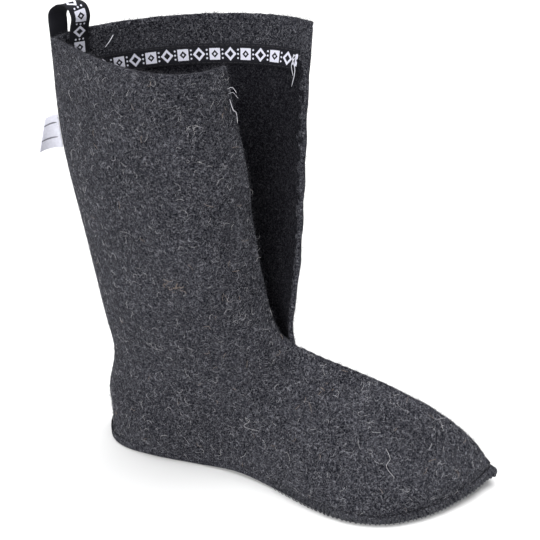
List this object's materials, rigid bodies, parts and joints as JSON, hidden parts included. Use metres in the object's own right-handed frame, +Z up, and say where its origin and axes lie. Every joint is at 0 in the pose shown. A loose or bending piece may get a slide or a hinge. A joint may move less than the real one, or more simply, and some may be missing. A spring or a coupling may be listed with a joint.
{
  "type": "valenki felt boot",
  "caption": "Tall soft felt boot with an open front slit, a stitched-on felt sole, a taped collar and a pull loop, for a right foot.",
  "frame": {"origin": "middle of the heel's flat rest spot, on the floor under the sole", "axes": "+Z up, +Y from heel to toe, +X to the wearer's right, which is the boot's lateral side"},
  "size_m": [0.1431, 0.3484, 0.3393],
  "materials": {
    "felt_charcoal": "charcoal heather wool felt, matt and fuzzy",
    "felt_sole": "dense charcoal wool felt, matt",
    "overlock_yarn": "charcoal overlock stitching",
    "ribbon_black": "woven black ribbon",
    "label_white": "woven off-white ribbon, plain"
  },
  "bodies": {
    "root": {"upper": "felt_charcoal", "sole": "felt_sole", "edge_seam": "overlock_yarn", "collar_tape": "ribbon_black", "pull_loop": "ribbon_black", "size_label": "label_white"}
  },
  "joints": []
}
